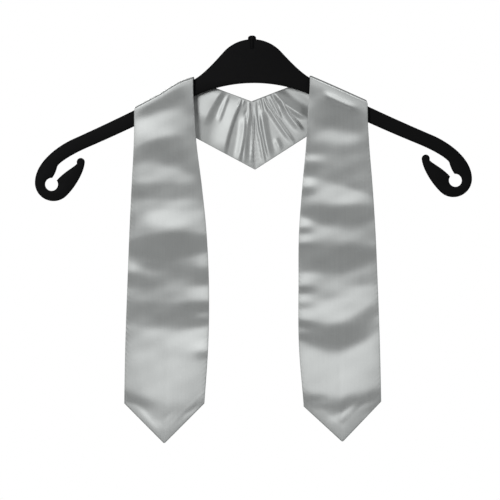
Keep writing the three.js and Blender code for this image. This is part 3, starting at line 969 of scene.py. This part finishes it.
def make_world(fill):
    """White behind the object, and a softer even light on it."""
    world = bpy.data.worlds.new("studio")
    world.use_nodes = True
    tree = world.node_tree
    tree.nodes.clear()
    path = add_node(tree, "ShaderNodeLightPath")
    seen = add_node(tree, "ShaderNodeBackground")
    seen.inputs["Color"].default_value = (1, 1, 1, 1)
    seen.inputs["Strength"].default_value = 1.0
    lighting = add_node(tree, "ShaderNodeBackground")
    lighting.inputs["Color"].default_value = (1, 1, 1, 1)
    lighting.inputs["Strength"].default_value = fill
    choose = add_node(tree, "ShaderNodeMixShader")
    output = add_node(tree, "ShaderNodeOutputWorld")
    tree.links.new(path.outputs["Is Camera Ray"], choose.inputs["Fac"])
    tree.links.new(lighting.outputs["Background"], choose.inputs[1])
    tree.links.new(seen.outputs["Background"], choose.inputs[2])
    tree.links.new(choose.outputs["Shader"], output.inputs["Surface"])
    bpy.context.scene.world = world


def make_floor(drop):
    """A pale matt floor below the object."""
    half = FLOOR_SIZE / 2
    corners = [(-half, -half, -drop), (half, -half, -drop), (half, half, -drop), (-half, half, -drop)]
    floor = new_object("studio_floor", corners, [(0, 1, 2, 3)])
    material, _, shader = start_material("pale_floor")
    shader.inputs["Base Color"].default_value = (0.86, 0.86, 0.86, 1)
    shader.inputs["Roughness"].default_value = 0.9
    floor.data.materials.append(material)


def make_camera(stage):
    """The camera, level and straight in front, with the chosen width in view."""
    camera = bpy.data.cameras.new("camera")
    camera.sensor_width = SENSOR_WIDTH
    camera.lens = SENSOR_WIDTH * stage.camera_distance / stage.view_width
    camera.clip_start, camera.clip_end = 0.05, 50
    holder = bpy.data.objects.new("camera", camera)
    bpy.context.scene.collection.objects.link(holder)
    centre = Vector(stage.view_centre)
    holder.location = centre - Vector((0, stage.camera_distance, 0))
    aim(holder, centre)
    bpy.context.scene.camera = holder


# ---- Settings -----------------------------------------------------------------------------


class StoleSizes(bpy.types.PropertyGroup):
    """Sizes of the cloth and its threads."""

    layer_thickness: FloatProperty(
        name="Layer thickness", description="Thickness of one layer of satin",
        default=0.00055, min=0.0002, max=0.002, unit="LENGTH", precision=5)
    edge_rounding: FloatProperty(
        name="Edge rounding", description="Radius of the turned and pressed edges",
        default=0.0011, min=0.0002, max=0.004, unit="LENGTH", precision=5)
    face_crown: FloatProperty(
        name="Face crown", description="How far the face stands off the seam plane in its middle",
        default=0.00015, min=0, max=0.004, unit="LENGTH", precision=5)
    backing_crown: FloatProperty(
        name="Backing crown", description="How far the backing stands off the seam plane in its middle",
        default=0.00015, min=0, max=0.004, unit="LENGTH", precision=5)
    pucker_height: FloatProperty(
        name="Pucker height", description="Height of the small waves along a sewn edge",
        default=0.00004, min=0, max=0.001, unit="LENGTH", precision=5)
    warp_pitch: FloatProperty(
        name="Warp pitch", description="Distance between the long threads",
        default=0.00028, min=0.0001, max=0.002, unit="LENGTH", precision=5)
    weft_pitch: FloatProperty(
        name="Weft pitch", description="Distance between the cross threads",
        default=0.00036, min=0.0001, max=0.002, unit="LENGTH", precision=5)


class StoleColours(bpy.types.PropertyGroup):
    """Colours of the cloth and the hanger."""

    face: FloatVectorProperty(
        name="Face", description="Silver satin of the outer layer",
        subtype="COLOR", size=4, default=(0.344, 0.356, 0.352, 1), min=0, max=1)
    backing: FloatVectorProperty(
        name="Backing", description="Silver satin of the inner layer",
        subtype="COLOR", size=4, default=(0.314, 0.325, 0.321, 1), min=0, max=1)
    plastic: FloatVectorProperty(
        name="Plastic", description="Black plastic of the hanger",
        subtype="COLOR", size=4, default=(0.0016, 0.0016, 0.0018, 1), min=0, max=1)
    face_roughness: FloatProperty(
        name="Face roughness", description="Roughness of the outer satin",
        default=0.445, min=0, max=1, subtype="FACTOR")
    face_grain: FloatProperty(
        name="Face grain", description="How far the outer satin's shine runs across the threads",
        default=0.9, min=0, max=1, subtype="FACTOR")
    backing_roughness: FloatProperty(
        name="Backing roughness", description="Roughness of the satin backing",
        default=0.49, min=0, max=1, subtype="FACTOR")
    backing_grain: FloatProperty(
        name="Backing grain", description="How far the backing's shine runs across the threads",
        default=0.65, min=0, max=1, subtype="FACTOR")


class HangerSizes(bpy.types.PropertyGroup):
    """Sizes of the hanger."""

    edge_radius: FloatProperty(
        name="Edge radius", description="Rounding of the plate's long edges",
        default=EDGE_RADIUS * MM, min=0.0002, max=0.003, unit="LENGTH", precision=5)


class StageSettings(bpy.types.PropertyGroup):
    """The camera, the lamps and the floor."""

    camera_distance: FloatProperty(
        name="Camera distance", description="From the middle of the view",
        default=4.5, min=0.5, max=10, unit="LENGTH")
    view_width: FloatProperty(
        name="View width", description="Width that the view takes in at the object",
        default=0.525, min=0.1, max=5, unit="LENGTH")
    view_centre: FloatVectorProperty(
        name="View centre", description="Point that the camera looks at",
        subtype="TRANSLATION", size=3, default=(-0.0021, 0.0, -0.2252))
    lamp_power: FloatProperty(
        name="Lamp power", description="Power of the main soft lamp",
        default=125.0, min=0, max=2000, unit="POWER")
    upper_power: FloatProperty(
        name="Upper lamp power", description="Power of the weaker lamp at the upper right",
        default=60.0, min=0, max=2000, unit="POWER")
    rear_power: FloatProperty(
        name="Rear lamp power", description="Power of the lamp that shows the back",
        default=110.0, min=0, max=2000, unit="POWER")
    fill: FloatProperty(
        name="Fill", description="Strength of the even light from all round",
        default=0.20, min=0, max=2)
    floor_drop: FloatProperty(
        name="Floor drop", description="How far the floor lies below the hanging point",
        default=0.75, min=0.45, max=3, unit="LENGTH")


# ---- Operators ----------------------------------------------------------------------------


class STOLE_OT_make_stage(bpy.types.Operator):
    """Makes the camera, the lamps, the white surroundings and the floor"""

    bl_idname = "stole.make_stage"
    bl_label = "Stage"

    def execute(self, context):
        stage = context.scene.stole_stage
        make_camera(stage)
        make_world(stage.fill)
        target = tuple(stage.view_centre)
        make_lamp("main_lamp", -19, 14, (0.8, 1.5), stage.lamp_power, target)
        make_lamp("upper_lamp", 35, 40, (1.4, 1.4), stage.upper_power, target)
        make_lamp("rear_lamp", 200, 22, (1.5, 1.5), stage.rear_power, target)
        make_floor(stage.floor_drop)
        context.scene.view_settings.view_transform = "Standard"
        return {"FINISHED"}


class STOLE_OT_make_hanger(bpy.types.Operator):
    """Makes the flat plastic hanger with its curled ends"""

    bl_idname = "stole.make_hanger"
    bl_label = "Hanger"

    def execute(self, context):
        plate = make_hanger_plate(context.scene.stole_hanger.edge_radius)
        cut_with(plate, stud_mesh("stud_socket", STUD_CLEARANCE))
        shade_moulded(plate)
        plastic = make_black_plastic("hanger_plastic", context.scene.stole_colours.plastic)
        finish_piece(plate, plastic, "black_plastic", "hanger")
        return {"FINISHED"}


class STOLE_OT_make_hook_stud(bpy.types.Operator):
    """Makes the short stud that the hanger hangs by"""

    bl_idname = "stole.make_hook_stud"
    bl_label = "Hook stud"

    def execute(self, context):
        stud = stud_mesh("hook_stud_turned", 0.0)
        stud.data.shade_smooth()
        stud.data.set_sharp_from_angle(angle=math.radians(50))
        plastic = make_black_plastic("stud_plastic", context.scene.stole_colours.plastic)
        finish_piece(stud, plastic, "black_plastic", "hook_stud")
        return {"FINISHED"}


class STOLE_OT_make_backing(bpy.types.Operator):
    """Makes the satin backing of both halves, the layer that lies on the hanger"""

    bl_idname = "stole.make_backing"
    bl_label = "Satin backing"

    def execute(self, context):
        sizes = context.scene.stole_sizes
        finish = context.scene.stole_colours
        satin = make_satin(
            "satin_backing", finish.backing, sizes, finish.backing_roughness, finish.backing_grain)
        for half in (LEFT, RIGHT):
            panel = make_panel(half, "backing", sizes)
            finish_piece(panel, satin, "satin_backing", f"{half.side}_backing")
        return {"FINISHED"}


class STOLE_OT_make_face(bpy.types.Operator):
    """Makes the satin face of both halves, the outer layer"""

    bl_idname = "stole.make_face"
    bl_label = "Satin face"

    def execute(self, context):
        sizes = context.scene.stole_sizes
        finish = context.scene.stole_colours
        satin = make_satin(
            "satin_face", finish.face, sizes, finish.face_roughness, finish.face_grain)
        for half in (LEFT, RIGHT):
            panel = make_panel(half, "face", sizes)
            finish_piece(panel, satin, "satin_face", f"{half.side}_face")
        return {"FINISHED"}


class STOLE_PT_panel(bpy.types.Panel):
    """Lists what can be made, with the sizes and colours"""

    bl_idname = "STOLE_PT_panel"
    bl_label = "Graduation stole"
    bl_space_type = "VIEW_3D"
    bl_region_type = "UI"
    bl_category = "Stole"

    def draw(self, context):
        layout = self.layout
        for operator in OPERATORS:
            layout.operator(operator.bl_idname)
        for name in SETTINGS:
            group = getattr(context.scene, name)
            box = layout.box()
            for key in group.__annotations__:
                box.prop(group, key)


SETTINGS = {
    "stole_sizes": StoleSizes,
    "stole_colours": StoleColours,
    "stole_hanger": HangerSizes,
    "stole_stage": StageSettings,
}
OPERATORS = (
    STOLE_OT_make_stage,
    STOLE_OT_make_hanger,
    STOLE_OT_make_hook_stud,
    STOLE_OT_make_backing,
    STOLE_OT_make_face,
)


def register():
    """Adds the settings, the operators and the panel."""
    for group in SETTINGS.values():
        bpy.utils.register_class(group)
    for operator in OPERATORS:
        bpy.utils.register_class(operator)
    bpy.utils.register_class(STOLE_PT_panel)
    for name, group in SETTINGS.items():
        setattr(bpy.types.Scene, name, PointerProperty(type=group))


def unregister():
    """Takes them away again."""
    for name in SETTINGS:
        delattr(bpy.types.Scene, name)
    bpy.utils.unregister_class(STOLE_PT_panel)
    for operator in reversed(OPERATORS):
        bpy.utils.unregister_class(operator)
    for group in reversed(list(SETTINGS.values())):
        bpy.utils.unregister_class(group)


def main():
    """Makes every piece once."""
    register()
    bpy.ops.stole.make_stage()
    bpy.ops.stole.make_hanger()
    bpy.ops.stole.make_hook_stud()
    bpy.ops.stole.make_backing()
    bpy.ops.stole.make_face()


if __name__ == "__main__":
    main()
